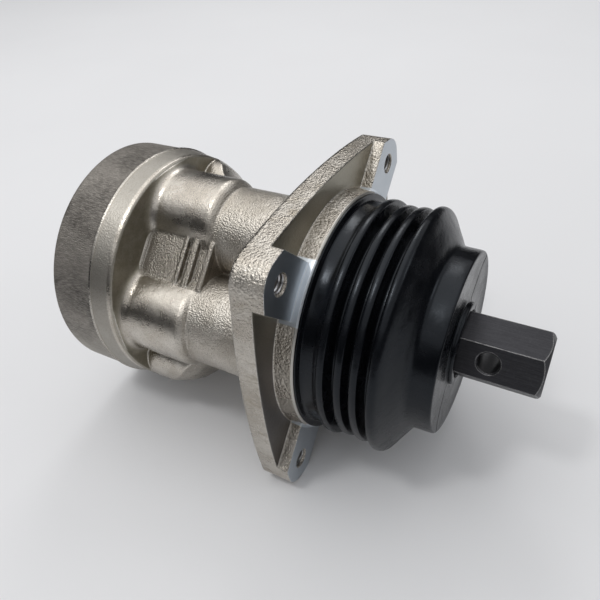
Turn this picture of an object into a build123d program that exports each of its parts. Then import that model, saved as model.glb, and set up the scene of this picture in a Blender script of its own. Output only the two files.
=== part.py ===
"""Four-way hydraulic pilot joystick valve, built as the pieces it comes apart into.

Millimetres. Z runs up the lever. The origin is the centre of the mounting flange,
on the machined face of its four ear pads. The four spool bores stand on the X and Y
axes; the flange ears, the two passage bosses and the two web pads are on the diagonals.
"""
from build123d import *
import math
import os

os.makedirs("parts", exist_ok=True)

# ---------------------------------------------------------------- layout
BORE_ANGLES = [0, 90, 180, 270]
EAR_ANGLES = [45, 135, 225, 315]
BORE_PITCH_R = 25.0          # spool bores and plungers about the lever axis
TANK_ANGLE = 45              # boss that carries the tank passage
PUMP_ANGLE = 225             # boss that carries the pump passage
PAD_ANGLES = [135, 315]      # flat web pads between the lobes

# ---------------------------------------------------------------- valve body
BLOCK_BOTTOM_Z = -104.0
BLOCK_SEAM_Z = -84.0         # mould parting line round the port block
BLOCK_TOP_Z = -74.5
BLOCK_R = 50.0
BLOCK_TOP_R = 48.6
SEAM_PROUD = 0.4
SEAM_H = 0.8

LOBE_R = 18.0
CORE_R = 22.0
ELBOW_R = 17.5               # bulged foot of each lobe, round the work passage
ELBOW_PITCH_R = 28.5
ELBOW_TOP_Z = -44.5
ELBOW_ROUND = 4.0
ELBOW_FLARE = 4.0            # cast fillet where the foot meets the block

BOSS_REACH = 49.5            # outermost line of the two passage bosses
BOSS_LEAN = 3.2              # how far the outermost line leans in before the slope
BOSS_SLOPE_H = 14.0
TANK_BOSS_R = 13.5
TANK_BOSS_TOP_Z = -43.5
PUMP_BOSS_R = 11.5
PUMP_BOSS_TOP_Z = -55.0      # lower, because the pump gallery is the lower one

PAD_DISTANCE = 33.3          # web pad face from the lever axis
PAD_HALF_WIDTH = 9.5
PAD_TOP_Z = -44.0
PAD_RIB_PROUD = 0.9
PAD_GROOVE_DEPTH = 1.6

FLANGE_BACK_Z = -12.0
FLANGE_FLOOR_Z = -4.5        # cast floor between the ear pads
EAR_PCR = 60.0               # mounting holes
EAR_CORNER_R = 9.6
FLANGE_MID_HALF = 55.3       # half width at the middle of a bulged side
EAR_PAD_HALF = 10.0
EAR_HOLE_R = 3.4             # tapping size of M8
EAR_CHAMFER = 0.5
RING_OUT_R = 46.5            # turned pilot above the ear faces
RING_FOOT_R = 47.0           # cast, with draft, below them
RING_IN_R = 44.0
RING_TOP_Z = 2.5
RING_CHAMFER = 0.5
CAVITY_Z = -6.0              # floor inside the ring

# ---------------------------------------------------------------- passages
PORT_R = 5.9                 # tapping size of a G1/4 port
PORT_PITCH_R = 33.0
PORT_FLOOR_Z = -91.5
SPOTFACE_R = 9.5
SPOTFACE_DEPTH = 0.6
PASSAGE_R = 4.0
PASSAGE_PITCH_R = 34.0
WORK_PASSAGE_R = 3.2
WORK_PASSAGE_PITCH_R = 31.2
WORK_PASSAGE_TOP_Z = -85.0
GALLERY_HALF = 2.5           # half width of the two ring galleries
GALLERY_H = 5.0
TANK_GALLERY_Z = -60.0       # lowest face of each gallery
PUMP_GALLERY_Z = -69.4

# ---------------------------------------------------------------- bores in the body
GUIDE_FLANGE_R = 12.0
GUIDE_FLANGE_H = 2.5
GUIDE_R = 10.5
GUIDE_BOTTOM_Z = -22.0
CHAMBER_R = 10.0
CHAMBER_FLOOR_Z = -62.0
SPOOL_R = 5.0
SPOOL_FIT = 0.03             # radial running clearance of the spools
SPOOL_BORE_FLOOR_Z = -90.5
STUD_R = 7.0                 # centre stud of the universal joint
STUD_BORE_FLOOR_Z = -26.0
PLATE_SCREW_PITCH_R = 34.0
PLATE_SCREW_R = 2.5
PLATE_SCREW_HEAD_R = 4.6
PLATE_SCREW_BOTTOM_Z = -10.4

# ---------------------------------------------------------------- retaining plate
PLATE_R = 39.5
PLATE_LIP_R = 41.6
PLATE_LIP_Z = -2.0
PLATE_TOP_Z = 0.0
PLATE_GAP = 0.1              # assembly clearance of pieces that only meet loosely

# ---------------------------------------------------------------- guides, plungers, spools
ROD_R = 4.5
ROD_FIT = 0.04
TIP_CENTRE_Z = 20.0          # centre of the plunger's ball end
PLUNGER_HEAD_R = 7.0
PLUNGER_HEAD_TOP_Z = -29.5
PLUNGER_BOTTOM_Z = -38.0
PLUNGER_BORE_R = 3.0
PLUNGER_BORE_TOP_Z = -22.0
SEAL_R = 6.8
SEAL_BOTTOM_Z = -9.6
ORING_R = 1.1
ORING_Z = -14.0
ORING_SIDES = 8
SEAT_R = 9.4
SEAT_T = 2.0
SEAT_BOSS_R = 3.9
SEAT_BOSS_H = 2.0
SEAT_HOLE_R = 2.0
SPOOL_BOTTOM_Z = -88.0
SPOOL_LAND_TOP_Z = -60.0
SPOOL_NECK_R = 3.6
SPOOL_COLLAR_R = 6.6
SPOOL_COLLAR_Z = -56.0
SPOOL_COLLAR_H = 2.0
SPOOL_STEM_R = 1.6
SPOOL_HEAD_R = 2.6
SPOOL_HEAD_Z = -32.0
SPOOL_HEAD_H = 2.5
SPOOL_BORE_R = 2.4
METER_HOLE_R = 1.2
METER_HOLE_Z = -62.3

# ---------------------------------------------------------------- springs
RETURN_SPRING_R = 8.2
RETURN_WIRE = 1.6
RETURN_TURNS = 6
CONTROL_SPRING_R = 5.2
CONTROL_WIRE = 1.3
CONTROL_TURNS = 5
COIL_STEPS = 14              # straight lengths in one turn

# ---------------------------------------------------------------- universal joint
PIVOT_Z = 13.0
YOKE_BASE_R = 11.0
YOKE_BASE_TOP_Z = 3.0
EAR_IN = 6.8                 # inner face of each yoke ear from the lever axis
EAR_OUT = 11.3
EAR_R = 5.6
BUSH_R = 4.4
TRUNNION_R = 3.0
TRUNNION_FIT = 0.04
CROSS_HALF = 6.4
CROSS_HALF_H = 4.2
BRIDGE_Z = 20.6              # underside of the upper yoke's bridge
BRIDGE_HALF = 5.5

# ---------------------------------------------------------------- lever
SWASH_BOTTOM_Z = 24.7
SWASH_R = 31.0
SWASH_T = 5.0
SWASH_HUB_R = 12.0
SWASH_HUB_TOP_Z = 31.7
LEVER_STUD_R = 6.0
LEVER_STUD_TOP_Z = 50.0
THREAD_GAP = 0.05            # radial room between plain thread stand-ins
NUT_AF = 19.0
NUT_TOP_Z = 38.0
BAR_AF = 22.0
BAR_TOP_Z = 75.7
BAR_ANGLE = 10.1             # one corner of the hexagon
BAR_HOLE_R = 3.75
BAR_HOLE_Z = 57.5
BAR_HOLE_CHAMFER = 0.5
BAR_HOLE_ANGLE = 340.1
BAR_CHAMFER = 1.6

# ---------------------------------------------------------------- boot
BOOT_BEAD_Z = -5.8
BOOT_FOOT_GAP = 0.05         # the foot lies on the ring
BOOT_FOOT_R = 45.8
BOOT_NECK_R = 43.3
BOOT_CREST_R = [45.3, 44.2, 44.5, 46.0]
BOOT_CREST_Z = [11.3, 17.2, 22.9, 29.4]
BOOT_CREST_HALF = 1.5        # half the width of a fold near its crest
BOOT_GROOVE_R = 39.6
BOOT_GROOVE_HALF = 1.1
BOOT_WALL = 1.5
BOOT_COLLAR_R = 33.8
BOOT_COLLAR_Z = 38.8
BOOT_RIM_Z = 46.0
BOOT_LIP_R = 15.2
BOOT_LIP_TOP_Z = 47.2


# ---------------------------------------------------------------- helpers
def turned(points):
    """Solid of revolution about Z from a closed outline of (radius, z) points."""
    return revolve(Plane.XZ * make_face(Polyline(*points, close=True)), Axis.Z)


def post(radius, low_z, high_z):
    """Upright cylinder between two heights."""
    return Pos(0, 0, low_z) * Cylinder(radius, high_z - low_z, align=(Align.CENTER, Align.CENTER, Align.MIN))


def tube(outer_r, inner_r, low_z, high_z):
    """Upright round tube between two heights."""
    return post(outer_r, low_z, high_z) - post(inner_r, low_z - 1, high_z + 1)


def slab(low, high):
    """Box between two opposite corners."""
    size = [b - a for a, b in zip(low, high)]
    middle = [(a + b) / 2 for a, b in zip(low, high)]
    return Pos(*middle) * Box(*size)


def hexagon(across_flats, low_z, high_z, corner_angle=0.0):
    """Upright hexagonal prism with one corner at the given azimuth."""
    outline = RegularPolygon(across_flats / 2, 6, major_radius=False, rotation=corner_angle)
    return Pos(0, 0, low_z) * extrude(outline, high_z - low_z)


def at(angle, radius=0.0):
    """Placement on a pitch circle, with local +X pointing outwards."""
    return Rot(0, 0, angle) * Pos(radius, 0, 0)


def ring_of(piece, angles, radius=0.0):
    """Copies of one piece on a pitch circle."""
    return [at(angle, radius) * piece for angle in angles]


def save(name, shape):
    """Write one node: a single solid, or a list of equal separate solids."""
    node = Compound(children=[solid for part in shape for solid in part.solids()]) \
        if isinstance(shape, list) else shape
    export_step(node, f"parts/{name}.step")


# ---------------------------------------------------------------- valve body
def port_block():
    """Round foot of the casting, drafted above its parting line."""
    seam_low = BLOCK_SEAM_Z - SEAM_H / 2
    seam_high = BLOCK_SEAM_Z + SEAM_H / 2
    return turned([
        (0, BLOCK_BOTTOM_Z), (BLOCK_R - 0.8, BLOCK_BOTTOM_Z), (BLOCK_R - 0.2, BLOCK_BOTTOM_Z + 0.8),
        (BLOCK_R - 0.2, seam_low), (BLOCK_R + SEAM_PROUD, BLOCK_SEAM_Z), (BLOCK_R, seam_high),
        (BLOCK_TOP_R, BLOCK_TOP_Z - 0.6), (BLOCK_TOP_R - 0.6, BLOCK_TOP_Z), (0, BLOCK_TOP_Z)])


def lobe():
    """One spool bore's wall with its bulged elbow foot, on local +X."""
    wall = Pos(BORE_PITCH_R, 0, 0) * post(LOBE_R, BLOCK_TOP_Z - 1, FLANGE_BACK_Z + 1)
    flare_start = (ELBOW_R + ELBOW_FLARE, BLOCK_TOP_Z)
    flare_end = (ELBOW_R, BLOCK_TOP_Z + ELBOW_FLARE)
    bulge = ELBOW_FLARE * (1 - math.sqrt(0.5))
    flare = ThreePointArc(flare_start, (ELBOW_R + bulge, BLOCK_TOP_Z + bulge), flare_end)
    crown_mid = ELBOW_ROUND * (1 - math.sqrt(0.5))
    crown = ThreePointArc(
        (ELBOW_R, ELBOW_TOP_Z - ELBOW_ROUND), (ELBOW_R - crown_mid, ELBOW_TOP_Z - crown_mid),
        (ELBOW_R - ELBOW_ROUND, ELBOW_TOP_Z))
    close = Polyline(
        crown @ 1, (0, ELBOW_TOP_Z), (0, BLOCK_TOP_Z - 1), (ELBOW_R + ELBOW_FLARE, BLOCK_TOP_Z - 1), flare @ 0)
    foot = revolve(Plane.XZ * make_face([flare, Line(flare @ 1, crown @ 0), crown, close]), Axis.Z)
    foot = Pos(ELBOW_PITCH_R, 0, 0) * foot
    return wall + (foot & post(BLOCK_TOP_R - 0.9, BLOCK_TOP_Z - 1, ELBOW_TOP_Z))


def passage_boss(radius, top_z):
    """Boss of the pump or tank passage: upright, then leaning in to the core."""
    foot_z = BLOCK_TOP_Z - 8
    pitch_r = BOSS_REACH - radius
    column = Pos(pitch_r, 0, 0) * post(radius, foot_z, top_z)
    column += slab((0, -radius, foot_z), (pitch_r, radius, top_z))
    shoulder = (BOSS_REACH - BOSS_LEAN, top_z - BOSS_SLOPE_H)
    side = Line((BOSS_REACH, foot_z - 6), (BOSS_REACH, top_z - BOSS_SLOPE_H - 11))
    bend = ThreePointArc(side @ 1, (BOSS_REACH - 0.3 * BOSS_LEAN, top_z - BOSS_SLOPE_H - 5), shoulder)
    slope = Polyline(
        shoulder, (shoulder[0] - BOSS_SLOPE_H, top_z), (0, top_z), (0, foot_z - 6), side @ 0)
    leaning = revolve(Plane.XZ * make_face([side, bend, slope]), Axis.Z)
    return column & leaning & post(BLOCK_TOP_R + 0.6, foot_z, top_z)


def web_pad(ribbed):
    """Flat pad that fills the web between two lobes, on local +X."""
    pad = slab((0, -PAD_HALF_WIDTH, BLOCK_TOP_Z - 1), (PAD_DISTANCE, PAD_HALF_WIDTH, PAD_TOP_Z))
    if ribbed:
        width = PAD_HALF_WIDTH + 1
        for low, high in [(-55.4, -53.2), (-50.6, -46.0)]:
            pad -= slab((PAD_DISTANCE - PAD_GROOVE_DEPTH, -width, low), (PAD_DISTANCE + 1, width, high))
        for low, high in [(BLOCK_TOP_Z - 0.5, BLOCK_TOP_Z + 1), (-57.2, -55.4), (-53.2, -50.6), (-46, PAD_TOP_Z)]:
            pad += slab((20, -PAD_HALF_WIDTH, low), (PAD_DISTANCE + PAD_RIB_PROUD, PAD_HALF_WIDTH, high))
    return pad


def flange_outline():
    """Rounded square whose sides bulge in arcs tangent to its corners."""
    ear = EAR_PCR / math.sqrt(2)
    reach = FLANGE_MID_HALF - ear
    side_r = (EAR_CORNER_R ** 2 - reach ** 2 - ear ** 2) / (2 * (EAR_CORNER_R - reach))
    lean = math.asin(ear / (side_r - EAR_CORNER_R))
    touch = (ear + EAR_CORNER_R * math.cos(lean), ear + EAR_CORNER_R * math.sin(lean))
    corner_mid = ear + EAR_CORNER_R / math.sqrt(2)
    edges = []
    for angle in BORE_ANGLES:
        side = ThreePointArc((touch[0], -touch[1]), (FLANGE_MID_HALF, 0), touch)
        corner = ThreePointArc(touch, (corner_mid, corner_mid), (touch[1], touch[0]))
        edges += [Rot(0, 0, angle) * side, Rot(0, 0, angle) * corner]
    return make_face(Wire(edges))


def mounting_flange():
    """Flange plate with four raised ear pads and the ring round the boot."""
    outline = flange_outline()
    plate = Pos(0, 0, FLANGE_BACK_Z) * extrude(outline, FLANGE_FLOOR_Z - FLANGE_BACK_Z)
    full = Pos(0, 0, FLANGE_BACK_Z) * extrude(outline, -FLANGE_BACK_Z)
    for angle in EAR_ANGLES:
        strip = slab((RING_IN_R, -EAR_PAD_HALF, FLANGE_BACK_Z), (80, EAR_PAD_HALF, 0))
        plate += full & at(angle) * strip
    plate += turned([
        (RING_IN_R, FLANGE_BACK_Z), (RING_FOOT_R, FLANGE_BACK_Z), (RING_FOOT_R, FLANGE_FLOOR_Z),
        (RING_OUT_R, 0), (RING_OUT_R, RING_TOP_Z - RING_CHAMFER), (RING_OUT_R - RING_CHAMFER, RING_TOP_Z),
        (RING_IN_R, RING_TOP_Z)])
    for angle in EAR_ANGLES:
        hole = turned([
            (0, FLANGE_BACK_Z - 1), (EAR_HOLE_R + EAR_CHAMFER + 1, FLANGE_BACK_Z - 1),
            (EAR_HOLE_R, FLANGE_BACK_Z + EAR_CHAMFER), (EAR_HOLE_R, -EAR_CHAMFER),
            (EAR_HOLE_R + EAR_CHAMFER + 1, 1), (0, 1)])
        plate -= at(angle, EAR_PCR) * hole
    return plate


def spool_bore():
    """Stepped bore of one guide, its spring chamber and its spool."""
    bore = post(GUIDE_FLANGE_R, CAVITY_Z - GUIDE_FLANGE_H, CAVITY_Z + 1)
    bore += post(GUIDE_R, GUIDE_BOTTOM_Z, CAVITY_Z)
    bore += post(CHAMBER_R, CHAMBER_FLOOR_Z, GUIDE_BOTTOM_Z)
    return bore + post(SPOOL_R + SPOOL_FIT, SPOOL_BORE_FLOOR_Z, CHAMBER_FLOOR_Z)


def gallery(angle, low_z):
    """Ring gallery through all four bores, and the passage down to its port."""
    ring = tube(BORE_PITCH_R + GALLERY_HALF, BORE_PITCH_R - GALLERY_HALF, low_z, low_z + GALLERY_H)
    inlet = slab((BORE_PITCH_R, -GALLERY_HALF, low_z), (PASSAGE_PITCH_R, GALLERY_HALF, low_z + GALLERY_H))
    inlet += Pos(PASSAGE_PITCH_R, 0, 0) * post(PASSAGE_R, PORT_FLOOR_Z - 1, low_z + GALLERY_H)
    return ring + at(angle) * inlet


def port():
    """Threaded port in the underside, at its tapping size."""
    bore = post(PORT_R, BLOCK_BOTTOM_Z - 1, PORT_FLOOR_Z)
    return bore + post(SPOTFACE_R, BLOCK_BOTTOM_Z - 1, BLOCK_BOTTOM_Z + SPOTFACE_DEPTH)


def valve_body():
    """The casting with its machined bores, galleries and ports."""
    body = port_block() + post(CORE_R, BLOCK_TOP_Z - 1, FLANGE_BACK_Z + 1) + mounting_flange()
    for angle in BORE_ANGLES:
        body += at(angle) * lobe()
    body += at(TANK_ANGLE) * passage_boss(TANK_BOSS_R, TANK_BOSS_TOP_Z)
    body += at(PUMP_ANGLE) * passage_boss(PUMP_BOSS_R, PUMP_BOSS_TOP_Z)
    for angle in PAD_ANGLES:
        body += at(angle) * web_pad(ribbed=True)
    body -= post(RING_IN_R, CAVITY_Z, RING_TOP_Z + 1)
    body -= post(STUD_R, STUD_BORE_FLOOR_Z, CAVITY_Z + 1)
    for angle in BORE_ANGLES:
        body -= at(angle, BORE_PITCH_R) * spool_bore()
        body -= at(angle, WORK_PASSAGE_PITCH_R) * post(WORK_PASSAGE_R, PORT_FLOOR_Z - 1, WORK_PASSAGE_TOP_Z)
    for angle in BORE_ANGLES + [TANK_ANGLE, PUMP_ANGLE]:
        body -= at(angle, PORT_PITCH_R) * port()
    for angle in EAR_ANGLES:
        body -= at(angle, PLATE_SCREW_PITCH_R) * post(PLATE_SCREW_R, PLATE_SCREW_BOTTOM_Z, CAVITY_Z + 1)
    body -= gallery(TANK_ANGLE, TANK_GALLERY_Z)
    body -= gallery(PUMP_ANGLE, PUMP_GALLERY_Z)
    return body


# ---------------------------------------------------------------- top plate and seals
def retaining_plate():
    """Round plate that holds the guides down and the boot's bead in."""
    plate = turned([
        (STUD_R + PLATE_GAP, CAVITY_Z), (PLATE_R, CAVITY_Z), (PLATE_R, PLATE_LIP_Z),
        (PLATE_LIP_R, PLATE_LIP_Z), (PLATE_LIP_R, PLATE_TOP_Z - 0.5), (PLATE_LIP_R - 0.5, PLATE_TOP_Z),
        (STUD_R + PLATE_GAP, PLATE_TOP_Z)])
    for angle in BORE_ANGLES:
        plate -= at(angle, BORE_PITCH_R) * post(ROD_R + 1, CAVITY_Z - 1, PLATE_TOP_Z + 1)
    sink_z = PLATE_TOP_Z - (PLATE_SCREW_HEAD_R - PLATE_SCREW_R)
    for angle in EAR_ANGLES:
        hole = turned([
            (0, CAVITY_Z - 1), (PLATE_SCREW_R + PLATE_GAP, CAVITY_Z - 1), (PLATE_SCREW_R + PLATE_GAP, sink_z),
            (PLATE_SCREW_HEAD_R + PLATE_GAP, PLATE_TOP_Z), (PLATE_SCREW_HEAD_R + PLATE_GAP, 1), (0, 1)])
        plate -= at(angle, PLATE_SCREW_PITCH_R) * hole
    return plate


def plate_screw():
    """Countersunk screw with a hexagon socket, at its thread's tapping size."""
    sink_z = PLATE_TOP_Z - (PLATE_SCREW_HEAD_R - PLATE_SCREW_R)
    screw = turned([
        (0, PLATE_SCREW_BOTTOM_Z + 0.2), (PLATE_SCREW_R - 0.1, PLATE_SCREW_BOTTOM_Z + 0.2),
        (PLATE_SCREW_R - 0.1, sink_z), (PLATE_SCREW_HEAD_R - 0.1, PLATE_TOP_Z - 0.1), (0, PLATE_TOP_Z - 0.1)])
    return screw - hexagon(3.0, -2.2, PLATE_TOP_Z + 1)


def plunger_guide():
    """Flanged bush of one plunger, with room for its rod seal and O-ring."""
    flange_z = CAVITY_Z - GUIDE_FLANGE_H
    groove_r = GUIDE_R - 1.8 * ORING_R
    bore_r = ROD_R + ROD_FIT
    return turned([
        (bore_r, GUIDE_BOTTOM_Z + 0.5), (GUIDE_R - 0.6, GUIDE_BOTTOM_Z + 0.5), (GUIDE_R - 0.05, GUIDE_BOTTOM_Z + 1),
        (GUIDE_R - 0.05, ORING_Z - 1.3), (groove_r, ORING_Z - 1.3), (groove_r, ORING_Z + 1.3),
        (GUIDE_R - 0.05, ORING_Z + 1.3), (GUIDE_R - 0.05, flange_z), (GUIDE_FLANGE_R - 0.05, flange_z),
        (GUIDE_FLANGE_R - 0.05, CAVITY_Z), (SEAL_R, CAVITY_Z), (SEAL_R, SEAL_BOTTOM_Z), (bore_r, SEAL_BOTTOM_Z)])


def guide_o_ring():
    """O-ring in a guide's groove, squeezed a little flat between groove and bore."""
    squeezed = 0.85 * ORING_R
    middle = GUIDE_R - 0.02 - squeezed
    points = []
    for step in range(ORING_SIDES):
        turn = 2 * math.pi * step / ORING_SIDES
        points.append((middle + squeezed * math.cos(turn), ORING_Z + ORING_R * math.sin(turn)))
    return turned(points)


def rod_seal():
    """Lipped rod seal in the mouth of a guide."""
    return turned([
        (ROD_R + 0.6, SEAL_BOTTOM_Z), (SEAL_R - 0.02, SEAL_BOTTOM_Z), (SEAL_R - 0.02, CAVITY_Z - 0.3),
        (SEAL_R - 0.7, CAVITY_Z - 0.1), (ROD_R + 1.1, CAVITY_Z - 1.4), (ROD_R + 0.02, CAVITY_Z - 0.3),
        (ROD_R + 0.02, CAVITY_Z - 1.4)])


# ---------------------------------------------------------------- one of the four valves
def plunger():
    """Push rod with a ball end, bored for the head of the spool's stem."""
    tip = ThreePointArc(
        (ROD_R, TIP_CENTRE_Z), (ROD_R * math.sqrt(0.5), TIP_CENTRE_Z + ROD_R * math.sqrt(0.5)),
        (0, TIP_CENTRE_Z + ROD_R))
    rest = Polyline(
        (0, TIP_CENTRE_Z + ROD_R), (0, PLUNGER_BORE_TOP_Z), (PLUNGER_BORE_R, PLUNGER_BORE_TOP_Z - 1.5),
        (PLUNGER_BORE_R, PLUNGER_BOTTOM_Z), (PLUNGER_HEAD_R, PLUNGER_BOTTOM_Z),
        (PLUNGER_HEAD_R, PLUNGER_HEAD_TOP_Z - 0.5), (PLUNGER_HEAD_R - 0.5, PLUNGER_HEAD_TOP_Z),
        (ROD_R, PLUNGER_HEAD_TOP_Z), (ROD_R, TIP_CENTRE_Z))
    return revolve(Plane.XZ * make_face([tip, rest]), Axis.Z)


def spring_seat():
    """Cupped washer that both springs push against."""
    top = PLUNGER_BOTTOM_Z
    return turned([
        (SEAT_HOLE_R, top - SEAT_T - SEAT_BOSS_H), (SEAT_BOSS_R, top - SEAT_T - SEAT_BOSS_H),
        (SEAT_BOSS_R, top - SEAT_T), (SEAT_R, top - SEAT_T), (SEAT_R, top - 0.5), (SEAT_R - 0.5, top),
        (SEAT_HOLE_R, top)])


def spool():
    """Hollow metering spool with the stem that its plunger's seat hangs it from."""
    collar_top = SPOOL_COLLAR_Z + SPOOL_COLLAR_H
    shape = turned([
        (0, SPOOL_BOTTOM_Z), (SPOOL_R - 0.4, SPOOL_BOTTOM_Z), (SPOOL_R, SPOOL_BOTTOM_Z + 0.4),
        (SPOOL_R, SPOOL_LAND_TOP_Z), (SPOOL_NECK_R, SPOOL_LAND_TOP_Z), (SPOOL_NECK_R, SPOOL_COLLAR_Z),
        (SPOOL_COLLAR_R, SPOOL_COLLAR_Z), (SPOOL_COLLAR_R, collar_top), (SPOOL_STEM_R, collar_top),
        (SPOOL_STEM_R, SPOOL_HEAD_Z), (SPOOL_HEAD_R, SPOOL_HEAD_Z), (SPOOL_HEAD_R, SPOOL_HEAD_Z + SPOOL_HEAD_H),
        (0, SPOOL_HEAD_Z + SPOOL_HEAD_H)])
    shape -= post(SPOOL_BORE_R, SPOOL_BOTTOM_Z - 1, METER_HOLE_Z + 1.8 * METER_HOLE_R)
    drill = Rot(90, 0, 0) * Cylinder(METER_HOLE_R, 4 * SPOOL_R)
    return shape - Pos(0, 0, METER_HOLE_Z) * drill


def coil(mean_r, wire, turns, low_z, high_z):
    """Square-wire helical spring between two seats, in short straight lengths."""
    rise = high_z - low_z - 2 * wire
    steps = turns * COIL_STEPS
    points = []
    for step in range(steps + 1):
        turn = 2 * math.pi * step / COIL_STEPS
        height = low_z + wire + rise * step / steps
        points.append((mean_r * math.cos(turn), mean_r * math.sin(turn), height))
    path = Polyline(*points)
    section = Plane(path @ 0, x_dir=(1, 0, 0), z_dir=path % 0) * Rectangle(wire, wire)
    return sweep(section, path, transition=Transition.RIGHT)


# ---------------------------------------------------------------- universal joint
def yoke_ears(low_z):
    """Pair of rounded ears on the X axis, bored for the trunnion bushes."""
    ears = slab((-EAR_OUT, -EAR_R, low_z), (EAR_OUT, EAR_R, PIVOT_Z))
    ears += Pos(0, 0, PIVOT_Z) * Rot(0, 90, 0) * Cylinder(EAR_R, 2 * EAR_OUT)
    ears -= slab((-EAR_IN, -20, low_z - 1), (EAR_IN, 20, PIVOT_Z + 20))
    return ears - Pos(0, 0, PIVOT_Z) * Rot(0, 90, 0) * Cylinder(BUSH_R, 4 * EAR_OUT)


def lower_yoke():
    """Fork screwed into the body through the retaining plate."""
    stem = post(STUD_R - THREAD_GAP, STUD_BORE_FLOOR_Z + 2, PLATE_TOP_Z + 0.5)
    flange = post(YOKE_BASE_R, PLATE_TOP_Z, YOKE_BASE_TOP_Z)
    for angle in (90, 270):
        flange -= at(angle) * slab((YOKE_BASE_R - 2, -20, -1), (20, 20, YOKE_BASE_TOP_Z + 1))
    block = slab((-EAR_OUT, -EAR_R, YOKE_BASE_TOP_Z - 1), (EAR_OUT, EAR_R, YOKE_BASE_TOP_Z))
    return stem + flange + (block & post(EAR_OUT + 0.7, 0, 10)) + yoke_ears(YOKE_BASE_TOP_Z - 0.5)


def upper_yoke():
    """Fork turned a quarter turn, with the stud that carries the lever."""
    turn = Pos(0, 0, PIVOT_Z) * Rot(180, 0, 90) * Pos(0, 0, -PIVOT_Z)
    fork = turn * yoke_ears(2 * PIVOT_Z - BRIDGE_Z - 1)
    bridge = slab((-BRIDGE_HALF, -EAR_OUT, BRIDGE_Z), (BRIDGE_HALF, EAR_OUT, SWASH_BOTTOM_Z))
    collar = post(8.5, SWASH_BOTTOM_Z - 1.7, SWASH_BOTTOM_Z)
    stud = turned([
        (0, SWASH_BOTTOM_Z - 1), (LEVER_STUD_R, SWASH_BOTTOM_Z - 1), (LEVER_STUD_R, LEVER_STUD_TOP_Z - 1),
        (LEVER_STUD_R - 1, LEVER_STUD_TOP_Z), (0, LEVER_STUD_TOP_Z)])
    return fork + bridge + collar + stud


def joint_cross():
    """Spider block with four trunnions."""
    block = Pos(0, 0, PIVOT_Z) * Box(2 * CROSS_HALF, 2 * CROSS_HALF, 2 * CROSS_HALF_H)
    block = chamfer(block.edges().filter_by(Axis.Z), 2.4)
    for turn in (Rot(0, 90, 0), Rot(90, 0, 0)):
        block += Pos(0, 0, PIVOT_Z) * turn * Cylinder(TRUNNION_R, 2 * EAR_OUT - 0.6)
    return block


def trunnion_bush():
    """Needle bush pressed into one ear on local +X."""
    bush = Cylinder(BUSH_R, EAR_OUT - EAR_IN) - Cylinder(TRUNNION_R + TRUNNION_FIT, 20)
    return Pos((EAR_IN + EAR_OUT) / 2, 0, PIVOT_Z) * Rot(0, 90, 0) * bush


# ---------------------------------------------------------------- lever
def swash_plate():
    """Actuating disc whose flat underside works the plungers."""
    hole_r = LEVER_STUD_R + THREAD_GAP
    top = SWASH_BOTTOM_Z + SWASH_T
    return turned([
        (hole_r, SWASH_BOTTOM_Z), (SWASH_R - 1.2, SWASH_BOTTOM_Z), (SWASH_R, SWASH_BOTTOM_Z + 1.2),
        (SWASH_R, top - 1.5), (SWASH_R - 1.5, top), (SWASH_HUB_R + 2, top), (SWASH_HUB_R, SWASH_HUB_TOP_Z),
        (hole_r, SWASH_HUB_TOP_Z)])


def lock_nut():
    """Hexagon nut that clamps the swash plate to its stud."""
    nut = hexagon(NUT_AF, SWASH_HUB_TOP_Z, NUT_TOP_Z) & turned([
        (0, SWASH_HUB_TOP_Z), (NUT_AF / 2 + 1.6, SWASH_HUB_TOP_Z), (NUT_AF / 2 + 1.6, NUT_TOP_Z - 0.9),
        (NUT_AF / 2, NUT_TOP_Z), (0, NUT_TOP_Z)])
    return nut - post(LEVER_STUD_R + THREAD_GAP, SWASH_HUB_TOP_Z - 1, NUT_TOP_Z + 1)


def lever_bar():
    """Hexagon adapter for the handle, drilled across near its end."""
    corner_r = BAR_AF / math.sqrt(3)
    bar = hexagon(BAR_AF, NUT_TOP_Z, BAR_TOP_Z, BAR_ANGLE) & turned([
        (0, NUT_TOP_Z), (corner_r + 1, NUT_TOP_Z), (corner_r + 1, BAR_TOP_Z - 2.4),
        (BAR_AF / 2 - BAR_CHAMFER / 2, BAR_TOP_Z), (0, BAR_TOP_Z)])
    bar -= post(LEVER_STUD_R + THREAD_GAP, NUT_TOP_Z - 1, LEVER_STUD_TOP_Z + 1.5)
    rim_r = BAR_HOLE_R + BAR_HOLE_CHAMFER
    face = BAR_AF / 2
    drill = turned([
        (0, -face - 1), (rim_r + 1, -face - 1), (rim_r, -face), (BAR_HOLE_R, BAR_HOLE_CHAMFER - face),
        (BAR_HOLE_R, face - BAR_HOLE_CHAMFER), (rim_r, face), (rim_r + 1, face + 1), (0, face + 1)])
    return bar - at(BAR_HOLE_ANGLE) * Pos(0, 0, BAR_HOLE_Z) * Rot(0, 90, 0) * drill


def bellows_outline():
    """Outer and inner profiles of the folds, as lists of (radius, z) points from the foot upwards."""
    outer, inner = [], []
    for crest_r, z, next_z in zip(BOOT_CREST_R, BOOT_CREST_Z, BOOT_CREST_Z[1:]):
        groove_z = (z + next_z) / 2
        outer += [
            (crest_r - 0.9, z - BOOT_CREST_HALF), (crest_r, z - 0.5), (crest_r, z + 0.5),
            (crest_r - 0.9, z + BOOT_CREST_HALF), (BOOT_GROOVE_R + 0.8, groove_z - BOOT_GROOVE_HALF),
            (BOOT_GROOVE_R, groove_z), (BOOT_GROOVE_R + 0.8, groove_z + BOOT_GROOVE_HALF)]
        inner += [
            (crest_r - 2.6, z), (BOOT_GROOVE_R - BOOT_WALL, groove_z - 1.4),
            (BOOT_GROOVE_R - BOOT_WALL, groove_z + 1.4)]
    return outer, inner


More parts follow.
